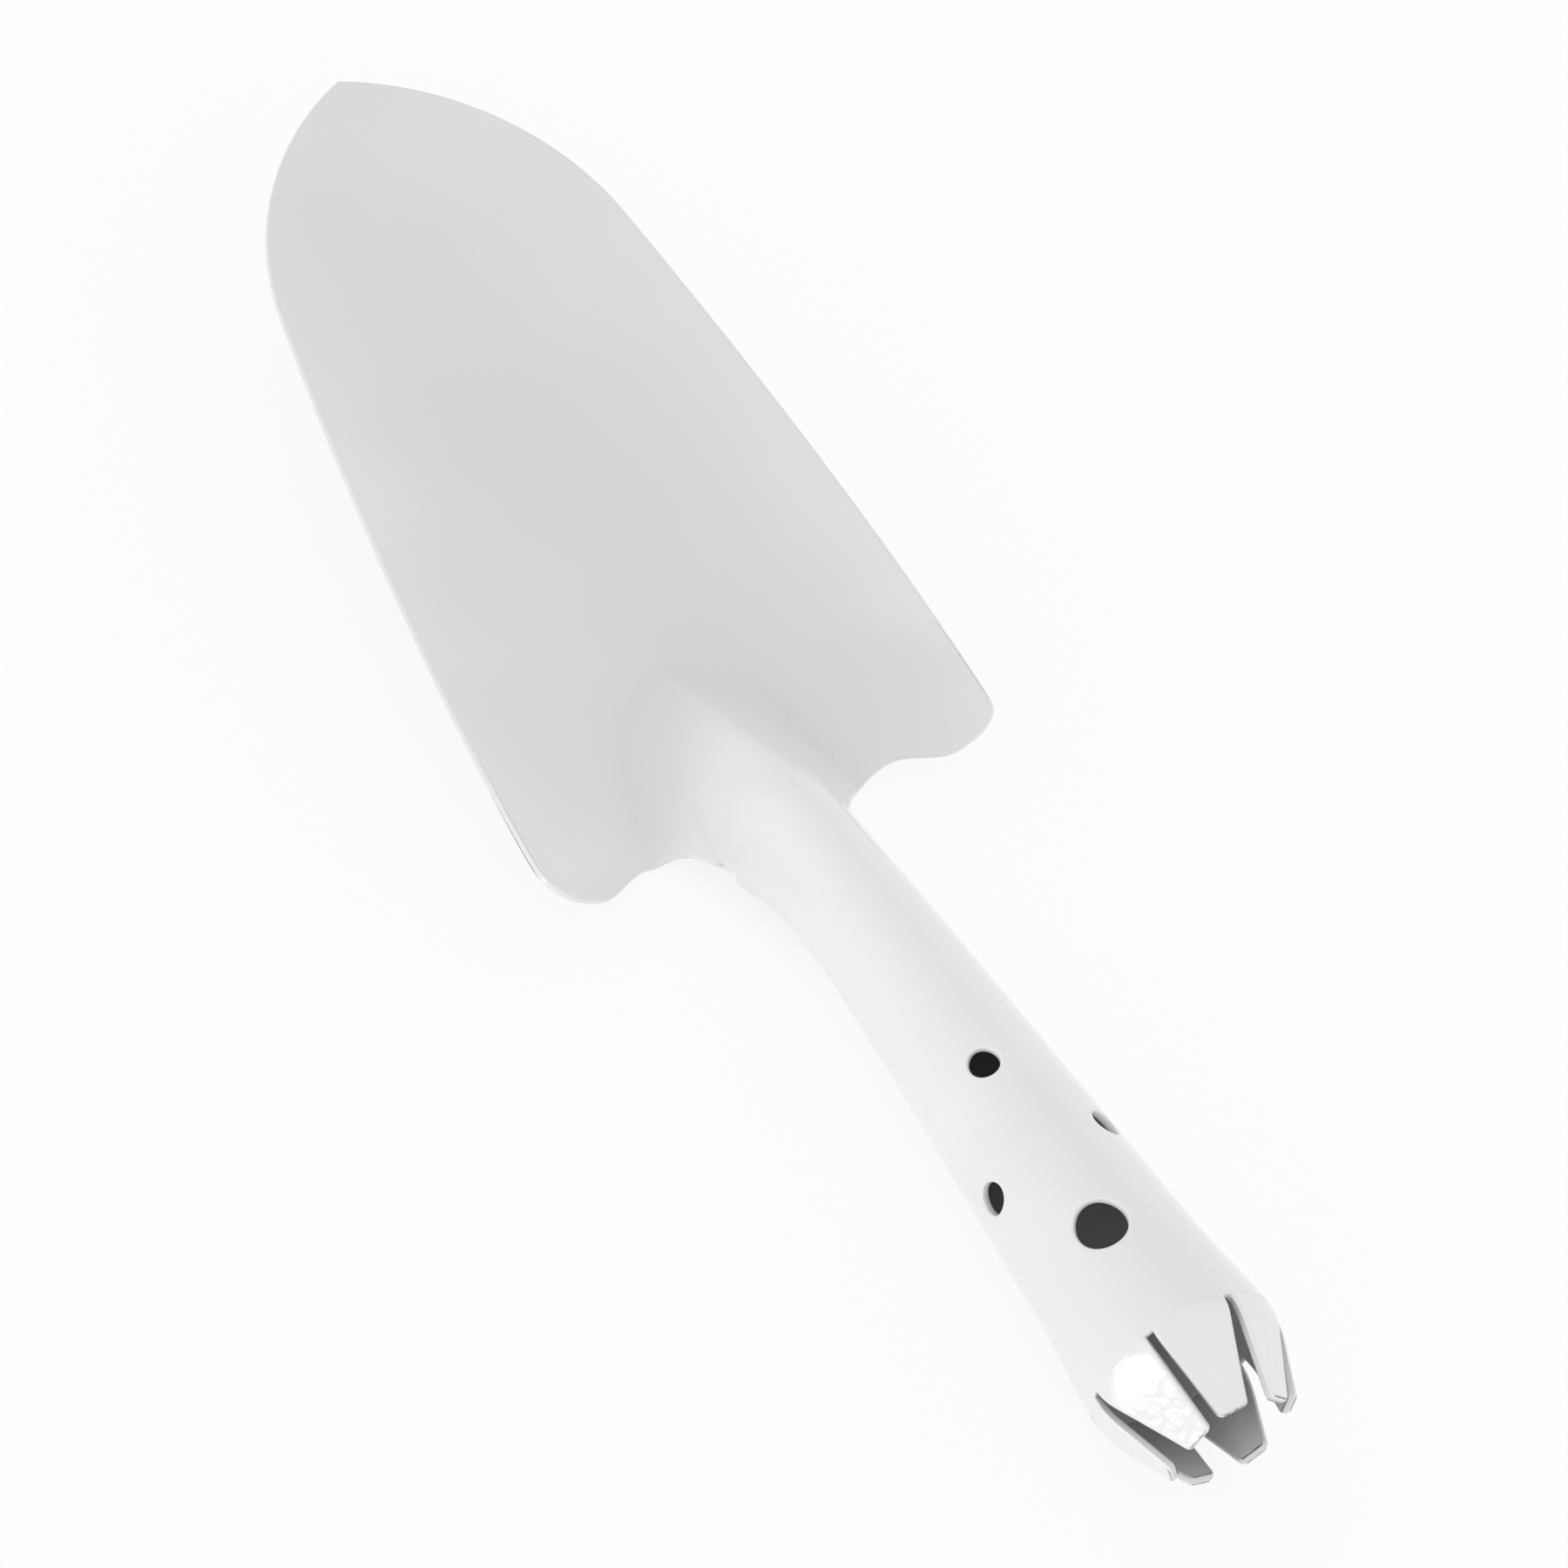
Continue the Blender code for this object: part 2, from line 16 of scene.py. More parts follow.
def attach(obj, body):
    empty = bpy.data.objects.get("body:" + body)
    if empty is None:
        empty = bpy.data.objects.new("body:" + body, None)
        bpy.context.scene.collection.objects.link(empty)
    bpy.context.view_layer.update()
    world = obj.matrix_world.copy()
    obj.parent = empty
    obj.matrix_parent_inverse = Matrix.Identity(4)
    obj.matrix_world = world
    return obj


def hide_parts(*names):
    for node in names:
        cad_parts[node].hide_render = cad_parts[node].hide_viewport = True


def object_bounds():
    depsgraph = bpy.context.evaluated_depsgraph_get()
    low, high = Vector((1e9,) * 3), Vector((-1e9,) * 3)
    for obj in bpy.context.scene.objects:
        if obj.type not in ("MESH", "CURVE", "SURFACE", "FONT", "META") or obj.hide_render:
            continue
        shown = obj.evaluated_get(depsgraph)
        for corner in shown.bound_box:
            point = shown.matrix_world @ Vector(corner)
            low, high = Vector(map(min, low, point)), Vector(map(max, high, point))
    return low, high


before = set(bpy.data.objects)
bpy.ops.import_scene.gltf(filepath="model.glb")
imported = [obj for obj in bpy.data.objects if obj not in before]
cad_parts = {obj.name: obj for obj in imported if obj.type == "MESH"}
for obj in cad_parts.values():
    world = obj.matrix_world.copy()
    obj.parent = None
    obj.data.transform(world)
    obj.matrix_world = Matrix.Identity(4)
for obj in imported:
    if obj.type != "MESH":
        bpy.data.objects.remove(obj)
solid_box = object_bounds()

# Handle tube. One steel sheet, rolled into a cone that widens to the heel, with its lower side flared
# out behind the blade. Its end is sawn into seven teeth that are bent inward to make a crown, and four
# holes are punched through it: three small ones at the fingers and a large one to hang it up by.
REST_TILT = math.radians(-6.0591)
REST_PLACE = (-0.0048386, 0.0, 0.0136100)
HANDLE_RISE = math.radians(7.24)
HANDLE_HEIGHT = 0.00065
HANDLE_LENGTH = 0.1323
NECK_RADIUS = 0.0079
WAIST = 0.0011
WAIST_FADE = 0.022
HEEL_RADIUS = 0.0161
HEEL_FLARE = 0.0009
HEEL_FLARE_LENGTH = 0.020
TUBE_WALL = 0.0015
FLARE_WIDTH = 0.0092
FLARE_FADE = 0.0135
FLARE_FROM = math.radians(62)
FLARE_TO = math.radians(142)
FLARE_EASE = 0.12
JOINT_AT = 0.0092
JOINT_GROOVE = 0.0024
JOINT_REACH = math.radians(89)
JOINT_MARGIN = 0.0002
LIP_RAKE = 0.018
LIP_RAKE_FROM = math.radians(118)
SEAM_WIDTH = 0.0016
TOOTH_COUNT = 7
PATTERN_TURN = math.radians(-8.4)
TOOTH_LENGTHS = (0.0182, 0.0179, 0.0148, 0.0160, 0.0165, 0.0167, 0.0181)
TOOTH_TIP_WIDTH = 0.0052
TOOTH_CORNER = 0.0008
SLOT_WIDTH = 0.0015
TOOTH_BENDS = [math.radians(angle) for angle in (33, 22.5, 16, 15, 18.3, 18, 25)]
BEND_SOFTNESS = 0.0012
SMALL_HOLE_RADIUS = 0.00275
LARGE_HOLE_RADIUS = 0.0045
# Each hole's distance along the handle, its angle from the top and its radius.
HOLES = [
    (0.0741, math.radians(-19.5), SMALL_HOLE_RADIUS),
    (0.0921, math.radians(40.5), SMALL_HOLE_RADIUS),
    (0.0939, math.radians(-74.0), SMALL_HOLE_RADIUS),
    (0.1108, math.radians(-19.5), LARGE_HOLE_RADIUS),
]
HOLE_MARGIN = 0.0016
HOLE_RINGS = 3
TUBE_EDGE_ROUND = 0.00045
TUBE_SPLIT = 0.045
TUBE_ROWS = (30, 80)
TOOTH_COLUMNS = 12
TOOTH_ROWS = (0.015, 0.035, 0.06, 0.09, 0.13, 0.19, 0.27, 0.36, 0.46, 0.56, 0.66, 0.76, 0.86, 0.93)
CORNER_STEPS = 4
EDGE_STEPS = 3
MITRE_LIMIT = 0.5
SHARP_ANGLE = math.radians(40)
HANDLE_FOOT = Vector((0.0, 0.0, HANDLE_HEIGHT))
HANDLE_ALONG = Vector((-math.cos(HANDLE_RISE), 0.0, math.sin(HANDLE_RISE)))
HANDLE_UP = Vector((math.sin(HANDLE_RISE), 0.0, math.cos(HANDLE_RISE)))


def smooth_step(start, end, value):
    """Rise from 0 to 1 between start and end, level at both."""
    share = min(max((value - start) / (end - start), 0.0), 1.0)
    return share * share * (3.0 - 2.0 * share)


def smooth_max(first, second, width):
    """The larger of two heights, with a fillet where they cross."""
    near = max(width - abs(first - second), 0.0) / width
    return max(first, second) + near * near * width / 4.0


def cone_radius(u):
    """The tube's radius at a distance along the handle, without the flare on its lower side."""
    taper = NECK_RADIUS + (HEEL_RADIUS - NECK_RADIUS) * u / HANDLE_LENGTH
    taper -= WAIST * math.exp((JOINT_AT - u) / WAIST_FADE)
    return taper + HEEL_FLARE * smooth_step(-HEEL_FLARE_LENGTH, 0.0, u - HANDLE_LENGTH)


def flare_share(turn):
    """How much of the flare an angle from the top has, and how fast that share grows with it."""
    ahead = (turn - FLARE_FROM) / (FLARE_TO - FLARE_FROM)
    eased = smooth_max(ahead, 0.0, FLARE_EASE)
    if eased >= 1.0:
        return 1.0, 0.0
    speed = min(max((ahead + FLARE_EASE) / (2.0 * FLARE_EASE), 0.0), 1.0)
    speed *= math.pi / 2.0 / (FLARE_TO - FLARE_FROM)
    return math.sin(math.pi / 2.0 * eased), math.cos(math.pi / 2.0 * eased) * speed


def tube_section(u, angle, inset=0.0):
    """Side and height of the tube's surface, written by how far out it lies along its own normal."""
    turn = abs(angle)
    flare = FLARE_WIDTH * math.exp((JOINT_AT - max(u, 0.0)) / FLARE_FADE)
    share, share_slope = flare_share(turn)
    reach = cone_radius(u) + flare * share - inset
    reach_slope = flare * share_slope
    side = reach * math.sin(turn) + reach_slope * math.cos(turn)
    height = reach * math.cos(turn) - reach_slope * math.sin(turn)
    return math.copysign(side, angle), height


def on_axis(u, side, height):
    """A point beside the handle's axis, in the trowel's frame. Positive side is the trowel's left."""
    return Vector((0.0, side, HANDLE_HEIGHT)) + HANDLE_ALONG * u + HANDLE_UP * height


def on_tube(u, angle, inset=0.0):
    """A point on the tube's surface. Positive angles turn from the top to the trowel's right."""
    angle = (angle + math.pi) % math.tau - math.pi
    side, height = tube_section(u, angle, inset)
    return on_axis(u, -side, height)


def lip(angle):
    """Where the tube starts: square across its top and sides, raked back underneath."""
    turn = abs((angle + math.pi) % math.tau - math.pi)
    return JOINT_AT + JOINT_GROOVE + LIP_RAKE * smooth_step(LIP_RAKE_FROM, math.pi, turn)


def ring_place(ring, angle):
    """Distance along the handle of a ring of the sheet, which straightens behind the lip."""
    if ring <= TUBE_ROWS[0]:
        return lip(angle) + (TUBE_SPLIT - lip(angle)) * ring / TUBE_ROWS[0]
    return TUBE_SPLIT + (HANDLE_LENGTH - TUBE_SPLIT) * (ring - TUBE_ROWS[0]) / TUBE_ROWS[1]


def ring_angles(ring):
    """The sheet's columns, from one side of the seam to the other, set by the teeth and slots."""
    slot_half = SLOT_WIDTH / 2.0 / cone_radius(HANDLE_LENGTH)
    seam_u = ring_place(ring, math.pi)
    seam_reach = cone_radius(seam_u) + FLARE_WIDTH * math.exp((JOINT_AT - seam_u) / FLARE_FADE)
    seam_half = math.asin(SEAM_WIDTH / 2.0 / seam_reach)
    pitch = math.tau / TOOTH_COUNT
    last_tooth = TOOTH_COUNT // 2
    angles = []
    for tooth in range(-last_tooth, last_tooth + 1):
        centre = PATTERN_TURN + tooth * pitch
        first = centre - pitch / 2.0 + (seam_half if tooth == -last_tooth else slot_half)
        last = centre + pitch / 2.0 - (seam_half if tooth == last_tooth else slot_half)
        angles += list(np.linspace(first, last, TOOTH_COLUMNS + 1))
    return angles


def tooth_point(tooth, along, across):
    """A point on a tooth: along from its root, across from -1 to 1 over its width."""
    bend = TOOTH_BENDS[tooth]
    length = TOOTH_LENGTHS[tooth]
    heel = cone_radius(HANDLE_LENGTH)
    root_half = (math.tau * heel / TOOTH_COUNT - SLOT_WIDTH) / 2.0
    half = root_half + (TOOTH_TIP_WIDTH / 2.0 - root_half) * along / length
    past = max(along - (length - TOOTH_CORNER), 0.0)
    half -= TOOTH_CORNER - math.sqrt(max(TOOTH_CORNER**2 - past**2, 0.0))
    flat = heel - along * math.sin(bend)
    turn = math.atan(math.tan(across * half / heel) * heel / flat)
    u = HANDLE_LENGTH + along * math.cos(bend)
    radius = -smooth_max(-cone_radius(u), -flat / math.cos(turn), BEND_SOFTNESS)
    angle = PATTERN_TURN + tooth * math.tau / TOOTH_COUNT + turn
    return on_axis(u, -radius * math.sin(angle), radius * math.cos(angle))


def join_rows(sheet, front, back):
    """Fill the strip between two rows of vertices with four-sided faces."""
    for index in range(len(front) - 1):
        sheet.faces.new((front[index], front[index + 1], back[index + 1], back[index]))


def face_up(sheet):
    """Turn a sheet's faces so that its upper side is its front."""
    bmesh.ops.recalc_face_normals(sheet, faces=sheet.faces)
    top = max(sheet.verts, key=lambda vertex: vertex.co.z)
    if top.link_faces[0].normal.z < 0.0:
        bmesh.ops.reverse_faces(sheet, faces=sheet.faces)
    sheet.normal_update()


def thicken(sheet, wall, edge_round, in_joint=None, in_crown=None):
    """Give a sheet its wall below its front, and round its cut edges where they are free.

    A sheet with a crown has its second material on its back, and on the inner half of the crown's edges.
    """
    outward = {}
    rims = []
    for edge in sheet.edges:
        if edge.is_boundary:
            loop = edge.link_loops[0]
            ends = (loop.vert, loop.link_loop_next.vert)
            side = (ends[1].co - ends[0].co).normalized().cross(loop.face.normal)
            rims.append(ends)
            for vertex in ends:
                outward.setdefault(vertex, []).append(side)
    profile = []
    for step in range(EDGE_STEPS + 1):
        turn = step / EDGE_STEPS * math.pi / 2.0
        profile.append((edge_round * (1.0 - math.cos(turn)), edge_round * (1.0 - math.sin(turn))))
    profile += [(wall - depth, inset) for depth, inset in reversed(profile)]

    fronts = list(sheet.faces)
    backs = {}
    for vertex in list(sheet.verts):
        if vertex not in outward:
            backs[vertex] = sheet.verts.new(vertex.co - vertex.normal * wall)
    edges = {}
    for vertex, sides in outward.items():
        way = sum(sides, Vector()).normalized()
        is_welded = in_joint is not None and in_joint(vertex)
        mitre = 0.0 if is_welded else 1.0 / max(way.dot(sides[0]), MITRE_LIMIT)
        line = [vertex]
        for depth, inset in profile[1:]:
            place = vertex.co - vertex.normal * depth - way * inset * mitre
            line.append(sheet.verts.new(place))
        edges[vertex] = line
        backs[vertex] = line[-1]
        vertex.co = vertex.co - way * edge_round * mitre
    for face in fronts:
        back = sheet.faces.new([backs[vertex] for vertex in reversed(face.verts)])
        back.material_index = int(in_crown is not None)
    for first, second in rims:
        for step in range(len(profile) - 1):
            cut = sheet.faces.new((edges[second][step], edges[first][step],
                                   edges[first][step + 1], edges[second][step + 1]))
            cut.material_index = int(in_crown is not None and step >= EDGE_STEPS and in_crown(first))


def finish_piece(name, sheet, materials):
    """Make a sheet an object with its materials, shaded by its large faces.

    It is laid down with the trowel at rest, and nothing of it is lower than the solids.
    """
    mesh = bpy.data.meshes.new(name)
    sheet.transform(Matrix.Translation(REST_PLACE) @ Matrix.Rotation(REST_TILT, 4, "Y"))
    for vertex in sheet.verts:
        vertex.co.z = max(vertex.co.z, solid_box[0].z)
    sheet.to_mesh(mesh)
    sheet.free()
    for material in materials:
        mesh.materials.append(material)
    mesh.shade_smooth()
    mesh.set_sharp_from_angle(angle=SHARP_ANGLE)
    draft = bpy.data.objects.new(name + "_draft", mesh)
    bpy.context.scene.collection.objects.link(draft)
    weighted = draft.modifiers.new("Weighted", "WEIGHTED_NORMAL")
    weighted.keep_sharp = True
    viewed = draft.evaluated_get(bpy.context.evaluated_depsgraph_get())
    shaded = bpy.data.meshes.new_from_object(viewed)
    bpy.data.objects.remove(draft)
    shaded.name = name
    piece = bpy.data.objects.new(name, shaded)
    bpy.context.scene.collection.objects.link(piece)
    return piece


class Shade:
    """A socket in a node tree. Arithmetic on it adds Math nodes, and node() adds any other node."""

    def __init__(self, tree, socket=None):
        self.tree = tree
        self.socket = socket

    def node(self, kind, settings, sockets, output=0):
        """Add a node: its settings first, and then the values or links of its sockets."""
        made = self.tree.nodes.new("ShaderNode" + kind)
        for name, value in settings.items():
            setattr(made, name, value)
        for name, value in sockets.items():
            if isinstance(value, Shade):
                self.tree.links.new(value.socket, made.inputs[name])
            else:
                made.inputs[name].default_value = value
        return Shade(self.tree, made.outputs[output] if made.outputs else None)

    def maths(self, operation, first, second):
        return self.node("Math", {"operation": operation}, {0: first, 1: second})

    def __add__(self, other):
        return self.maths("ADD", self, other)

    def __radd__(self, other):
        return self.maths("ADD", other, self)

    def __sub__(self, other):
        return self.maths("SUBTRACT", self, other)

    def __rsub__(self, other):
        return self.maths("SUBTRACT", other, self)

    def __mul__(self, other):
        return self.maths("MULTIPLY", self, other)

    def __rmul__(self, other):
        return self.maths("MULTIPLY", other, self)

    def clamped(self, low, high):
        """Run from 0 at low to 1 at high, level outside them."""
        return self.node("MapRange", {"interpolation_type": "SMOOTHSTEP"},
                         {"Value": self, "From Min": low, "From Max": high})


def new_material(name):
    material = bpy.data.materials.new(name)
    material.use_nodes = True
    material.node_tree.nodes.clear()
    return material, Shade(material.node_tree)


def mixed(shade, share, first, second):
    """A colour between two others, each given as red, green and blue."""
    return shade.node("Mix", {"data_type": "RGBA"},
                      {"Factor": share, 6: (*first, 1.0), 7: (*second, 1.0)}, output=2)


def noise(shade, point, scale, detail):
    """Blender's noise, from 0 to 1."""
    return shade.node("TexNoise", {}, {"Vector": point, "Scale": scale, "Detail": detail})


# Enamel is sprayed and fired, so it shows a fine orange peel, coarser at the crown's tips. Its tone
# drifts a little over a hand's width, and the blade's face is painted darker than the handle, a painted
# shade. Spans are along X with the trowel at rest, scales are in cells per metre, and bump heights are
# in metres.
ENAMEL = (0.765, 0.765, 0.763)
ENAMEL_DARK_AND_SHADED = (0.680, 0.681, 0.682)
SHADED_FACE_SPAN = (-0.012, 0.035)
FACE_SHADE_SHARE = 0.65
DRIFT_SCALE = 20.0
DRIFT_SPAN = (0.35, 0.70)
PEEL_SCALE = 1.0 / 0.0021
PEEL_HEIGHT = 0.000009
TIP_PEEL_HEIGHT = 0.000220
TIP_SPAN = (-0.1450, -0.1395)
GRAIN_SCALE = 2000.0
GRAIN_HEIGHT = 0.0000012
HAZE_SCALE = 60.0
HAZE_ROUGHNESS = 0.08
ENAMEL_ROUGHNESS = 0.13
ENAMEL_IOR = 1.52
GLAZE_WEIGHT = 0.35
GLAZE_ROUGHNESS = 0.06
GLAZE_IOR = 1.50

enamel, shade = new_material("light_enamel_and_painted_shade")
point = shade.node("TexCoord", {}, {}, output="Object")
forward = shade.node("SeparateXYZ", {}, {"Vector": point})
drift = noise(shade, point, DRIFT_SCALE, detail=2.0).clamped(*DRIFT_SPAN)
# Painted shade: the blade's face is mixed towards the darker tone, together with a random drift of tone.
blade_shade_and_drift = forward.clamped(*SHADED_FACE_SPAN) * FACE_SHADE_SHARE + drift * (1.0 - FACE_SHADE_SHARE)
peel = noise(shade, point, PEEL_SCALE, detail=1.5)
grain = noise(shade, point, GRAIN_SCALE, detail=1.0)
tips = 1.0 - forward.clamped(*TIP_SPAN)
height = peel * (tips * TIP_PEEL_HEIGHT + PEEL_HEIGHT) + grain * GRAIN_HEIGHT
haze = noise(shade, point, HAZE_SCALE, detail=3.0)
shader = shade.node("BsdfPrincipled", {}, {
    "Base Color": mixed(shade, blade_shade_and_drift, ENAMEL, ENAMEL_DARK_AND_SHADED),
    "Roughness": haze * HAZE_ROUGHNESS + ENAMEL_ROUGHNESS,
    "Normal": shade.node("Bump", {}, {"Strength": 1.0, "Distance": 1.0, "Height": height}),
    "IOR": ENAMEL_IOR, "Coat Weight": GLAZE_WEIGHT, "Coat Roughness": GLAZE_ROUGHNESS,
    "Coat IOR": GLAZE_IOR})
shade.node("OutputMaterial", {}, {"Surface": shader})

# Inside the tube the steel is grey: lighter at the crown's mouth, and painted darker further in as
# painted shade. The teeth's sawn edges take this grey on their inner half. Dust and drips speckle it.
BORE_SHADED_GREY = (0.420, 0.420, 0.422)
BORE_MOUTH_GREY = (0.60, 0.60, 0.602)
SHADE_FULL_AT = -0.136
SHADE_GONE_AT = -0.153
SHADE_RAGGEDNESS = 0.006
SPECKLE_SCALE = 625.0
GROUND_ROUGHNESS = 0.62
MOUTH_SMOOTHING = 0.22
SPECKLE_ROUGHNESS = 0.12
DUST_HEIGHT = 0.00002

bore, shade = new_material("bore_grey_and_painted_shade")
point = shade.node("TexCoord", {}, {}, output="Object")
speckle = noise(shade, point, SPECKLE_SCALE, detail=4.0)
forward = shade.node("SeparateXYZ", {}, {"Vector": point}) + (speckle - 0.5) * SHADE_RAGGEDNESS
# Painted shade: the bore is mixed from the mouth's grey to a darker grey further into the tube.
mouth_unshaded_share = 1.0 - forward.clamped(SHADE_GONE_AT, SHADE_FULL_AT)
rough = GROUND_ROUGHNESS - mouth_unshaded_share * MOUTH_SMOOTHING + (speckle - 0.5) * SPECKLE_ROUGHNESS
shader = shade.node("BsdfPrincipled", {}, {
    "Base Color": mixed(shade, mouth_unshaded_share, BORE_SHADED_GREY, BORE_MOUTH_GREY), "Roughness": rough,
    "Normal": shade.node("Bump", {}, {"Distance": 1.0, "Height": speckle * DUST_HEIGHT})})
shade.node("OutputMaterial", {}, {"Surface": shader})


def punched_block(angles, u, angle, radius):
    """The rows and columns of the sheet's grid that a hole and its margin take up."""
    reach = radius + HOLE_MARGIN
    turn = reach / cone_radius(u)
    places = [ring_place(ring, angle) for ring in range(sum(TUBE_ROWS) + 1)]
    first_row = max(row for row, place in enumerate(places) if place <= u - reach)
    last_row = min(row for row, place in enumerate(places) if place >= u + reach)
    first_column = max(column for column, a in enumerate(angles) if a <= angle - turn)
    last_column = min(column for column, a in enumerate(angles) if a >= angle + turn)
    return first_row, last_row, first_column, last_column


def build_tube_sheet():
    """The rolled sheet's outer face, as one grid with a ring of cells round each hole."""
    sheet = bmesh.new()
    rows = sum(TUBE_ROWS)
    blocks = [punched_block(ring_angles(rows), *hole) for hole in HOLES]
    places = []
    grid = {}
    for row in range(rows + 1):
        places.append([(ring_place(row, angle), angle) for angle in ring_angles(row)])
        for column, place in enumerate(places[-1]):
            inside = [b for b in blocks if b[0] < row < b[1] and b[2] < column < b[3]]
            if not inside:
                grid[row, column] = sheet.verts.new(on_tube(*place))
    columns = len(places[0])
    for row in range(rows):
        for column in range(columns - 1):
            if not [b for b in blocks if b[0] <= row < b[1] and b[2] <= column < b[3]]:
                sheet.faces.new((grid[row, column], grid[row, column + 1],
                                 grid[row + 1, column + 1], grid[row + 1, column]))
    for (low, high, left, right), (u, angle, radius) in zip(blocks, HOLES):
        border = [(low, column) for column in range(left, right)]
        border += [(row, right) for row in range(low, high)]
        border += [(high, column) for column in range(right, left, -1)]
        border += [(row, left) for row in range(high, low, -1)]
        outer = [grid[cell] for cell in border]
        reach = cone_radius(u)
        for ring in range(1, HOLE_RINGS + 1):
            share = ring / HOLE_RINGS
            inner = []
            for row, column in border:
                cell_u, cell_angle = places[row][column]
                aim = math.atan2((cell_angle - angle) * reach, cell_u - u)
                rim_u = u + radius * math.cos(aim)
                rim_angle = angle + math.asin(radius * math.sin(aim) / reach)
                inner.append(sheet.verts.new(on_tube(cell_u + (rim_u - cell_u) * share,
                                                     cell_angle + (rim_angle - cell_angle) * share)))
            for index in range(len(border)):
                after = (index + 1) % len(border)
                sheet.faces.new((outer[index], outer[after], inner[after], inner[index]))
            outer = inner
    corner = [1.0 - math.sin(step / CORNER_STEPS * math.pi / 2.0) for step in range(CORNER_STEPS + 1)]
    last_tooth = TOOTH_COUNT // 2
    for tooth in range(-last_tooth, last_tooth + 1):
        start = (tooth + last_tooth) * (TOOTH_COLUMNS + 1)
        front = [grid[rows, start + step] for step in range(TOOTH_COLUMNS + 1)]
        length = TOOTH_LENGTHS[tooth]
        alongs = [share * length for share in TOOTH_ROWS]
        for along in alongs + [length - TOOTH_CORNER * share for share in corner]:
            back = []
            for step in range(TOOTH_COLUMNS + 1):
                back.append(sheet.verts.new(tooth_point(tooth, along, 2.0 * step / TOOTH_COLUMNS - 1.0)))
            join_rows(sheet, front, back)
            front = back
    return sheet


def in_neck_joint(vertex):
    """Whether a vertex lies in the weld between the tube and the blade's neck."""
    place = vertex.co - HANDLE_FOOT
    corner = on_tube(JOINT_AT + JOINT_GROOVE, JOINT_REACH) - HANDLE_FOOT
    is_at_lip = place.dot(HANDLE_ALONG) < JOINT_AT + JOINT_GROOVE + JOINT_MARGIN
    return is_at_lip and place.dot(HANDLE_UP) > corner.dot(HANDLE_UP)


def in_crown(vertex):
    """Whether a vertex lies on the crown, whose sawn edges the enamel covers only on the outside."""
    return -vertex.co.x > HANDLE_LENGTH * math.cos(HANDLE_RISE) - TUBE_WALL


sheet = build_tube_sheet()
face_up(sheet)
thicken(sheet, TUBE_WALL, TUBE_EDGE_ROUND, in_neck_joint, in_crown)
handle = finish_piece("handle", sheet, [enamel, bore])
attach(handle, "root")
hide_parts("handle_tube")

# Blade. One pressed steel sheet: a pointed, hollow face with a rolled-up rim, a ridge that rises from
# the face into the handle, and two lobes beside the neck. Its rear end is a tongue that is stepped in
# by the tube's wall and slips into the tube's mouth.
BLADE_LENGTH = 0.159
SHOULDER_HALF_WIDTH = 0.0451
OGIVE_START = 0.115
LEFT_OGIVE_HALF_WIDTH = 0.0336
RIGHT_OGIVE_HALF_WIDTH = 0.0353
SIDE_CURVE = 1.65
BLADE_SHEET = 0.0012
BLADE_EDGE_ROUND = 0.0004
DISH_DEPTH = 0.015
DISH_CURVE = 1.5
LEFT_REAR = {"side": 1, "hollow": (0.0028, 0.0212), "lobe": (0.0081, 0.0352), "neck_curve": 3.0}
RIGHT_REAR = {"side": -1, "hollow": (0.0004, 0.0270), "lobe": (0.0050, 0.0370), "neck_curve": 2.0}
LOBE_CORNER_CURVE = 2.5
RIDGE_LENGTH = 0.034
RIDGE_NECK_SLOPE = 0.4
RIDGE_NOSE_SLOPE = 0.6
RIDGE_HALF_WIDTH = 0.020
RIDGE_WIDEST_AT = -0.0026
RIDGE_KEELED_AT = 0.008
RIDGE_KEEL_ROUND = 0.09
SKIRT_TOP_SLOPE = 0.67
SKIRT_FOOT_SLOPE = 1.08
JOGGLE = 0.0018
TONGUE_LENGTH = 0.021
FIT_GAP = 0.00035
STEER_FROM = 0.055
NECK_BLEND = 0.0115
NECK_COLUMNS = 20
WING_COLUMNS = 32
BLADE_ROWS = 130
ROW_EASE = 0.25
JOGGLE_ROWS = 4
TONGUE_ROWS = 8
SECTION_SAMPLES = 400
CURVE_SAMPLES = 60
TIP_HALVINGS = 40
LEAST_WIDTH = 1e-6


def half_width(x, side):
    """The blade's width on one side: a nearly straight edge, then an arc that meets the tip."""
    if x <= 0.0:
        return SHOULDER_HALF_WIDTH
    ogive_half_width = LEFT_OGIVE_HALF_WIDTH if side > 0.0 else RIGHT_OGIVE_HALF_WIDTH
    fall = SHOULDER_HALF_WIDTH - ogive_half_width
    if x < OGIVE_START:
        return SHOULDER_HALF_WIDTH - fall * (x / OGIVE_START) ** SIDE_CURVE
    lean = math.atan(fall * SIDE_CURVE / OGIVE_START)
    to_tip = Vector((BLADE_LENGTH - OGIVE_START, -ogive_half_width))
    across = abs(to_tip.x * -math.sin(lean) - to_tip.y * math.cos(lean))
    radius = to_tip.length_squared / (2.0 * across)
    centre_x = OGIVE_START - radius * math.sin(lean)
    centre_y = ogive_half_width - radius * math.cos(lean)
    return max(centre_y + math.sqrt(max(radius**2 - (x - centre_x) ** 2, 0.0)), 0.0)


def ogive_reach(share):
    """How far forward the blade reaches on a line at a share of its width, -1 right to 1 left."""
    ogive_half_width = LEFT_OGIVE_HALF_WIDTH if share > 0.0 else RIGHT_OGIVE_HALF_WIDTH
    low, high = OGIVE_START, BLADE_LENGTH
    for _ in range(TIP_HALVINGS):
        middle = (low + high) / 2.0
        if half_width(middle, share) > abs(share) * ogive_half_width:
            low = middle
        else:
            high = middle
    return low


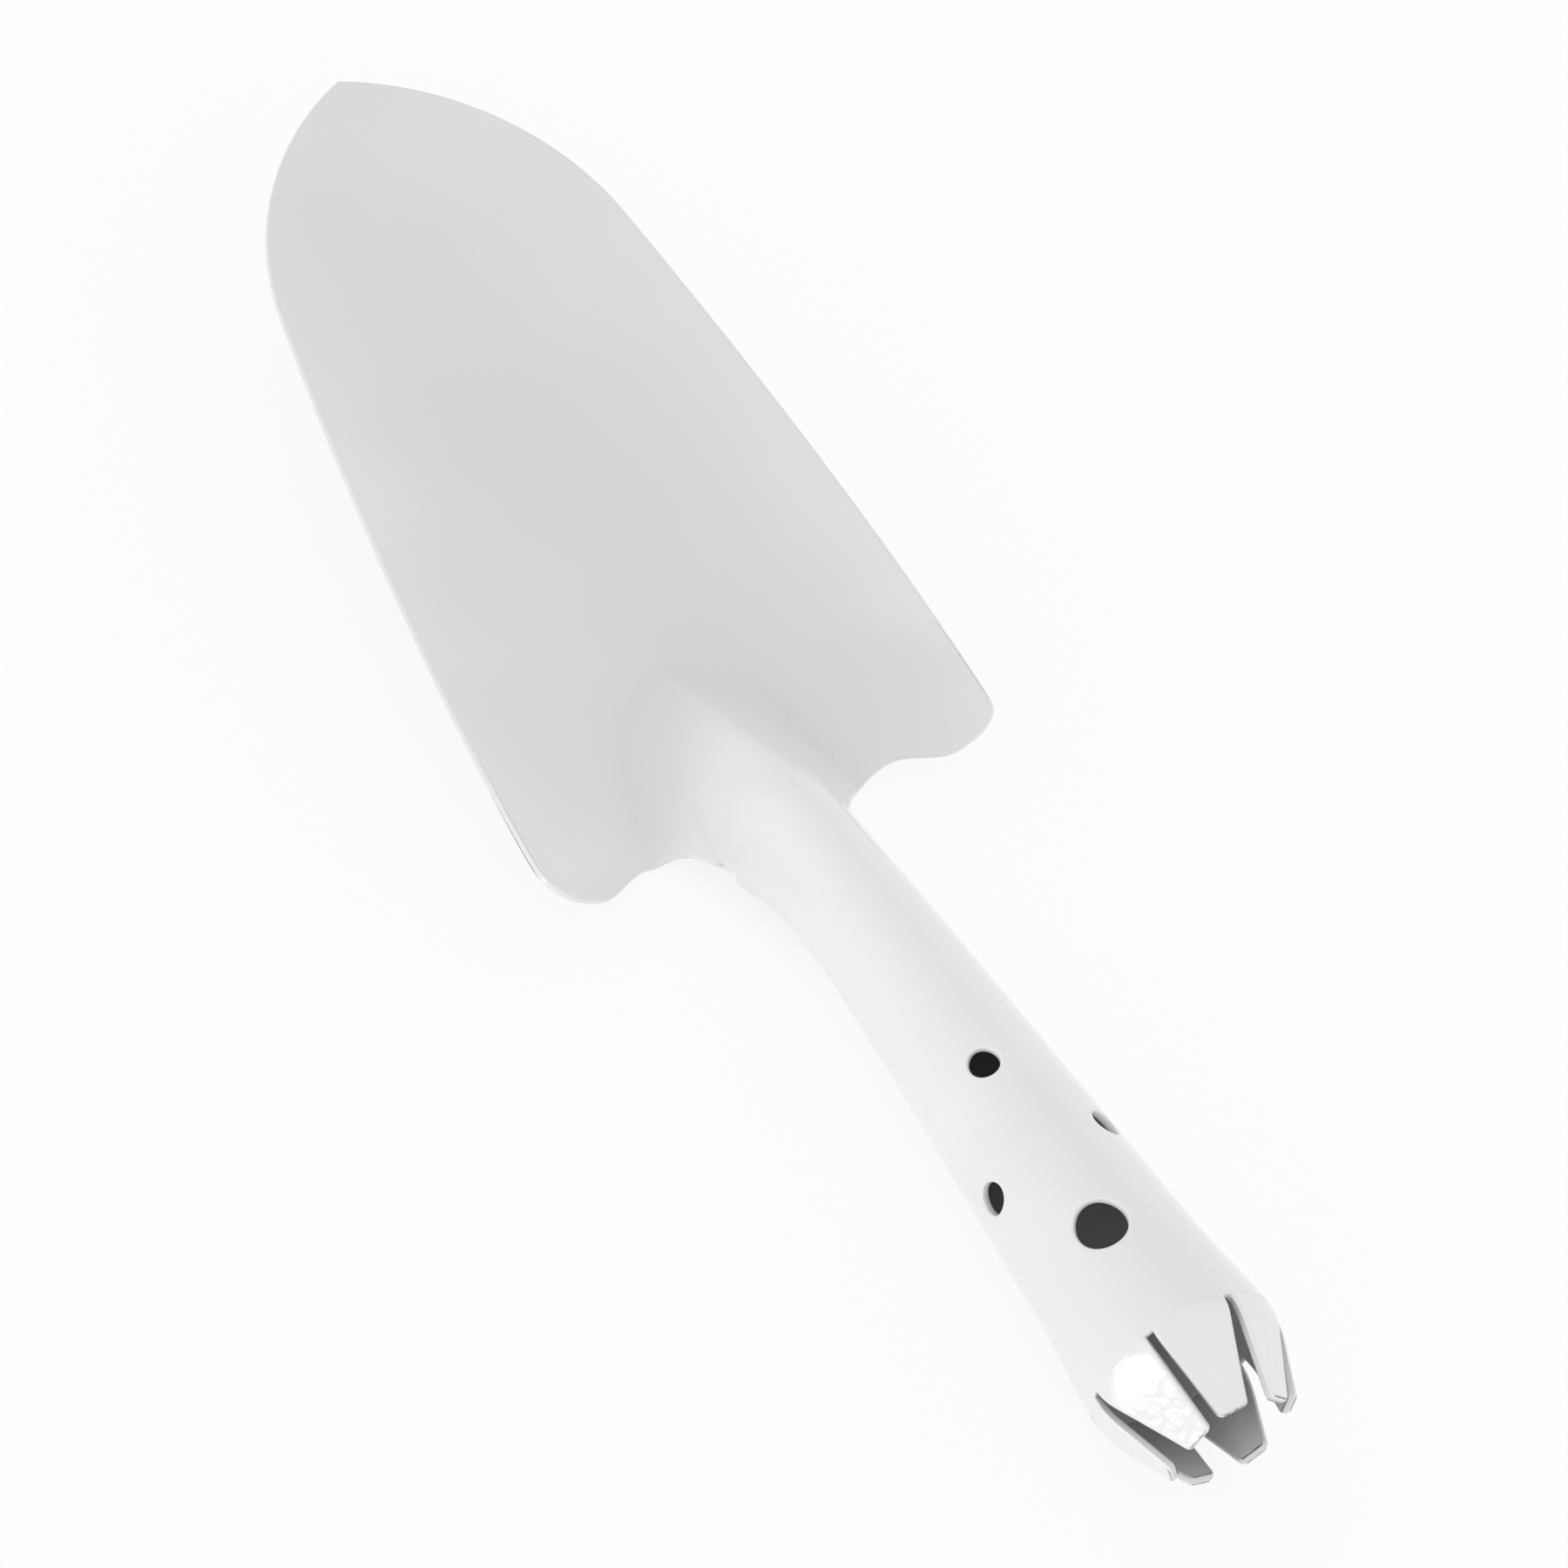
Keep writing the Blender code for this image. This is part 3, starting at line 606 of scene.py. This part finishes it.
def dish_height(x, y):
    """The hollow face: deepest at the rear and on the middle line, level with the rim at the edge."""
    depth = DISH_DEPTH * (1.0 - max(x / BLADE_LENGTH, 0.0) ** DISH_CURVE)
    share = min(abs(y) / max(half_width(x, y), LEAST_WIDTH), 1.0)
    return -depth * (1.0 - share * share)


def hermite(start, start_slope, end, end_slope, span, t):
    """Height on a cubic between two heights whose slopes are known."""
    return ((2 * t**3 - 3 * t**2 + 1) * start + (t**3 - 2 * t**2 + t) * span * start_slope
            + (3 * t**2 - 2 * t**3) * end + (t**3 - t**2) * span * end_slope)


neck_top = on_tube(JOINT_AT, 0.0)
section_sides = []
section_rises = []
for angle in np.linspace(0.0, JOINT_REACH, SECTION_SAMPLES):
    side, height = tube_section(JOINT_AT, angle)
    section_sides.append(side)
    section_rises.append(neck_top.z - cone_radius(JOINT_AT) + height - dish_height(0.0, side))
skirt_start = section_sides[-1]
skirt_rise = section_rises[-1]
for t in np.linspace(0.0, 1.0, CURVE_SAMPLES)[1:]:
    section_sides.append(skirt_start + (RIDGE_HALF_WIDTH - skirt_start) * t)
    section_rises.append(hermite(skirt_rise, -SKIRT_TOP_SLOPE, 0.0, -SKIRT_FOOT_SLOPE,
                                 RIDGE_HALF_WIDTH - skirt_start, t))
section_sides = np.array(section_sides) / RIDGE_HALF_WIDTH
section_rises = np.array(section_rises) / section_rises[0]


def blade_height(x, y):
    """The hollow face with the ridge standing on it, whose section runs from the tube's to a keel."""
    face = dish_height(x, y)
    if x >= RIDGE_LENGTH:
        return face
    span = RIDGE_LENGTH - neck_top.x
    t = min(max((x - neck_top.x) / span, 0.0), 1.0)
    nose_height = dish_height(RIDGE_LENGTH, 0.0)
    top = hermite(neck_top.z, -RIDGE_NECK_SLOPE, nose_height, -RIDGE_NOSE_SLOPE, span, t)
    rise = max(top - dish_height(x, 0.0), 0.0)
    forward = max(x - RIDGE_WIDEST_AT, 0.0) / (RIDGE_LENGTH - RIDGE_WIDEST_AT)
    share = min(abs(y) / (RIDGE_HALF_WIDTH * math.sqrt(1.0 - forward * forward)), 1.0)
    neck = float(np.interp(share, section_sides, section_rises))
    foot = math.hypot(1.0, RIDGE_KEEL_ROUND)
    keel = (foot - math.hypot(share, RIDGE_KEEL_ROUND)) / (foot - RIDGE_KEEL_ROUND)
    return face + rise * (neck + (keel - neck) * smooth_step(neck_top.x, RIDGE_KEELED_AT, x))


def rear_edge(side, hollow, lobe, neck_curve):
    """A wing's rear edge, from the neck through the hollow and round the lobe to the outer corner.

    The hollow and the lobe are each given by how far behind the shoulders and how far out they lie.
    """
    neck = on_tube(JOINT_AT, -JOINT_REACH)
    line = []
    for share in np.linspace(0.0, 1.0, CURVE_SAMPLES):
        behind = hollow[0] + (-neck.x - hollow[0]) * (1.0 - share) ** neck_curve
        line.append((-behind, neck.y + (hollow[1] - neck.y) * share))
    for share in np.linspace(0.0, 1.0, CURVE_SAMPLES)[1:]:
        behind = hollow[0] + (lobe[0] - hollow[0]) * smooth_step(0.0, 1.0, share)
        line.append((-behind, hollow[1] + (lobe[1] - hollow[1]) * share))
    for turn in np.linspace(0.0, math.pi / 2.0, CURVE_SAMPLES)[1:-1]:
        behind = lobe[0] * math.cos(turn) ** (2.0 / LOBE_CORNER_CURVE)
        outward = math.sin(turn) ** (2.0 / LOBE_CORNER_CURVE)
        line.append((-behind, lobe[1] + (SHOULDER_HALF_WIDTH - lobe[1]) * outward))
    line = np.array(line + [(0.0, SHOULDER_HALF_WIDTH)])
    steps = np.concatenate(([0.0], np.cumsum(np.linalg.norm(np.diff(line, axis=0), axis=1))))
    places = np.linspace(0.0, steps[-1], WING_COLUMNS + 1)
    along = np.interp(places, steps, line[:, 0])
    outward = np.interp(places, steps, line[:, 1])
    return [(float(x), side * float(y)) for x, y in zip(along, outward)]


def rear_points(side, **edge):
    """The rear end on one side: the curved joint at the neck, then the wing's free edge."""
    points = []
    for index in range(1, NECK_COLUMNS + 1):
        points.append(on_tube(JOINT_AT, -side * JOINT_REACH * index / NECK_COLUMNS))
    for x, y in rear_edge(side, **edge)[1:]:
        points.append(Vector((x, y, blade_height(x, y))))
    return points


def build_blade_sheet():
    """The pressed sheet's upper face, from its pointed front edge to the end of the tongue."""
    ends = rear_points(**RIGHT_REAR)[::-1] + [on_tube(JOINT_AT, 0.0)] + rear_points(**LEFT_REAR)
    half = NECK_COLUMNS + WING_COLUMNS
    sheet = bmesh.new()
    lines = []
    for row in range(BLADE_ROWS + 1):
        even = row / BLADE_ROWS
        share = even + (math.sin(math.pi * even / 2.0) - even) * ROW_EASE
        line = []
        for column, end in enumerate(ends):
            front_share = (column - half) / half
            reach = ogive_reach(front_share)
            x = reach + (end.x - reach) * share
            steer = smooth_step(STEER_FROM, end.x, x)
            rear_share = end.y / SHOULDER_HALF_WIDTH
            width = half_width(min(x, OGIVE_START), end.y)
            y = width * (front_share + (rear_share - front_share) * steer)
            miss = end.z - blade_height(end.x, end.y)
            z = blade_height(x, y) + miss * smooth_step(end.x + NECK_BLEND, end.x, x)
            line.append(sheet.verts.new((x, y, z)))
        lines.append(line)
    for front, back in zip(lines, lines[1:]):
        join_rows(sheet, front, back)

    step_in = TUBE_WALL + FIT_GAP
    neck_rows = []
    for row in range(1, JOGGLE_ROWS + 1):
        share = row / JOGGLE_ROWS
        neck_rows.append((JOINT_AT + JOGGLE * share, step_in * share))
    for row in range(1, TONGUE_ROWS + 1):
        neck_rows.append((JOINT_AT + JOGGLE + TONGUE_LENGTH * row / TONGUE_ROWS, step_in))
    front = lines[-1][WING_COLUMNS:WING_COLUMNS + 2 * NECK_COLUMNS + 1]
    for u, inset in neck_rows:
        back = []
        for column in range(-NECK_COLUMNS, NECK_COLUMNS + 1):
            back.append(sheet.verts.new(on_tube(u, -JOINT_REACH * column / NECK_COLUMNS, inset)))
        join_rows(sheet, front, back)
        front = back
    return sheet


sheet = build_blade_sheet()
face_up(sheet)
thicken(sheet, BLADE_SHEET, BLADE_EDGE_ROUND)
blade = finish_piece("trowel_blade", sheet, [enamel])
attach(blade, "root")
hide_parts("blade")

# Neck weld. A bead fills the groove between the blade's neck and the tube's lip, over the top and both
# sides. It is ground flush before the enamel goes on, so that only its two ends can be made out.
NECK_WELD_WALL = 0.0008
NECK_WELD_EDGE = 0.0003
NECK_WELD_ROWS = 3

sheet = bmesh.new()
lines = []
for row in range(NECK_WELD_ROWS + 1):
    u = JOINT_AT + JOINT_GROOVE * row / NECK_WELD_ROWS
    turns = [-JOINT_REACH * column / NECK_COLUMNS for column in range(-NECK_COLUMNS, NECK_COLUMNS + 1)]
    lines.append([sheet.verts.new(on_tube(u, turn)) for turn in turns])
for front, back in zip(lines, lines[1:]):
    join_rows(sheet, front, back)
face_up(sheet)
thicken(sheet, NECK_WELD_WALL, NECK_WELD_EDGE, in_joint=lambda vertex: True)
neck = finish_piece("neck_bead", sheet, [enamel])
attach(neck, "root")
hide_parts("neck_weld")

# Seam weld. A thin bead closes the rolled tube along its underside. It was laid in small overlapping
# pools, which still show as ripples under the enamel.
SEAM_BEAD_RADIUS = 0.0005
SEAM_BEAD_STOP = 0.0015
RIPPLE_LENGTH = 0.0013
RIPPLE_DEPTH = 0.00008
SEAM_END_SHARE = 0.1
SEAM_STEPS_PER_RIPPLE = 4
SEAM_SIDES = 14

sheet = bmesh.new()
seam_angle = PATTERN_TURN + math.pi
seam_start = lip(seam_angle) + SEAM_BEAD_RADIUS
seam_end = HANDLE_LENGTH - SEAM_BEAD_STOP
seam_steps = int((seam_end - seam_start) / RIPPLE_LENGTH * SEAM_STEPS_PER_RIPPLE)
rings = []
for step in range(seam_steps + 1):
    u = seam_start + (seam_end - seam_start) * step / seam_steps
    centre = on_tube(u, seam_angle, SEAM_BEAD_RADIUS)
    out = (on_tube(u, seam_angle) - centre).normalized()
    side = HANDLE_ALONG.cross(out)
    phase = (step / SEAM_STEPS_PER_RIPPLE) % 1.0
    close = min(min(step, seam_steps - step) / SEAM_STEPS_PER_RIPPLE, 1.0)
    fullness = math.sqrt(close * (1.0 - SEAM_END_SHARE) + SEAM_END_SHARE)
    radius = (SEAM_BEAD_RADIUS - RIPPLE_DEPTH * phase) * fullness
    ring = []
    for turn in range(SEAM_SIDES):
        angle = math.tau * turn / SEAM_SIDES
        ring.append(sheet.verts.new(centre + (out * math.cos(angle) + side * math.sin(angle)) * radius))
    rings.append(ring)
for front, back in zip(rings, rings[1:]):
    for turn in range(SEAM_SIDES):
        after = (turn + 1) % SEAM_SIDES
        sheet.faces.new((front[turn], front[after], back[after], back[turn]))
sheet.faces.new(rings[0])
sheet.faces.new(rings[-1][::-1])
bmesh.ops.recalc_face_normals(sheet, faces=sheet.faces)
seam = finish_piece("seam_bead", sheet, [enamel])
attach(seam, "root")
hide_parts("seam_weld")

# Floor. A plain white sweep that the trowel lies on. Seen by the camera or in a reflection, part of its
# white is its own, so that it stays near white and still takes the trowel's shadow.
FLOOR_HALF_SIZE = 3.0
FLOOR_WHITE = (0.92, 0.92, 0.92)
FLOOR_OWN_WHITE = 0.85
PLAIN_WHITE = (1.0, 1.0, 1.0, 1.0)


def seen_share(shade):
    """1 where the camera sees a surface, directly, in a reflection or through glass, or else 0."""
    looks = ("Is Camera Ray", "Is Glossy Ray", "Is Transmission Ray")
    camera_ray, glossy_ray, clear_ray = (shade.node("LightPath", {}, {}, output=look) for look in looks)
    return camera_ray + glossy_ray + clear_ray


floor_mesh = bpy.data.meshes.new("floor")
plane = bmesh.new()
corners = [(-1, -1), (1, -1), (1, 1), (-1, 1)]
plane.faces.new([plane.verts.new((x * FLOOR_HALF_SIZE, y * FLOOR_HALF_SIZE, 0.0)) for x, y in corners])
plane.to_mesh(floor_mesh)
plane.free()
floor = bpy.data.objects.new("floor", floor_mesh)
bpy.context.scene.collection.objects.link(floor)
paper, shade = new_material("white_paper")
seen = seen_share(shade)
matt = shade.node("BsdfDiffuse", {}, {"Color": (*FLOOR_WHITE, 1.0)})
glow = shade.node("Emission", {}, {"Color": PLAIN_WHITE, "Strength": 1.0})
surface = shade.node("MixShader", {}, {0: seen * FLOOR_OWN_WHITE, 1: matt, 2: glow})
shade.node("OutputMaterial", {}, {"Surface": surface})
floor_mesh.materials.append(paper)

# Light. The trowel lies in a white tent that is lit from outside, low down and from its two sides, so
# that those walls are brighter than its roof. Seen by the camera or in a reflection it is plain white.
# Two small soft lamps stand low: the left one whitens a tooth, the back one glints in sawn edges.
TENT_ROOF = 0.92
TENT_WALLS = 2.2
WALL_FADE = 6.0
LAMPS = {
    "left_lamp": {"place": (-0.44, 1.45, 0.13), "size": (0.40, 0.26), "watts": 2.5},
    "back_lamp": {"place": (-1.45, 0.10, 0.45), "size": (0.80, 0.10), "watts": 1.2},
}

world = bpy.data.worlds.new("tent")
bpy.context.scene.world = world
world.use_nodes = True
world.node_tree.nodes.clear()
shade = Shade(world.node_tree)
seen = seen_share(shade)
ray = shade.node("TexCoord", {}, {}, output="Generated")
aside = shade.node("SeparateXYZ", {}, {"Vector": ray}, output="Y")
up = shade.node("SeparateXYZ", {}, {"Vector": ray}, output="Z")
low = 1.0 - up.maths("MAXIMUM", up, 0.0)
walls = low.maths("POWER", low, WALL_FADE) * (aside * aside)
cloth = shade.node("Background", {}, {
    "Color": PLAIN_WHITE, "Strength": walls * TENT_WALLS + TENT_ROOF})
white = shade.node("Background", {}, {"Color": PLAIN_WHITE, "Strength": 1.0})
sky = shade.node("MixShader", {}, {0: seen, 1: cloth, 2: white})
shade.node("OutputWorld", {}, {"Surface": sky})
for name, lamp in LAMPS.items():
    light = bpy.data.lights.new(name, "AREA")
    light.shape = "RECTANGLE"
    light.size, light.size_y = lamp["size"]
    light.energy = lamp["watts"]
    stand = bpy.data.objects.new(name, light)
    stand.location = lamp["place"]
    stand.rotation_euler = (-Vector(lamp["place"])).to_track_quat("-Z", "Y").to_euler()
    bpy.context.scene.collection.objects.link(stand)

# Camera. It looks down on the trowel from behind its left side. Its turn is in degrees, its lens in
# millimetres.
CAMERA_PLACE = (-0.57251, 0.49548, 0.92423)
CAMERA_TURN = (38.736, -8.956, -120.381)
CAMERA_LENS = 160.17

view = bpy.data.cameras.new("camera")
view.lens = CAMERA_LENS
camera = bpy.data.objects.new("camera", view)
camera.location = CAMERA_PLACE
camera.rotation_euler = [math.radians(turn) for turn in CAMERA_TURN]
bpy.context.scene.collection.objects.link(camera)
bpy.context.scene.camera = camera
bpy.context.scene.view_settings.view_transform = "Standard"
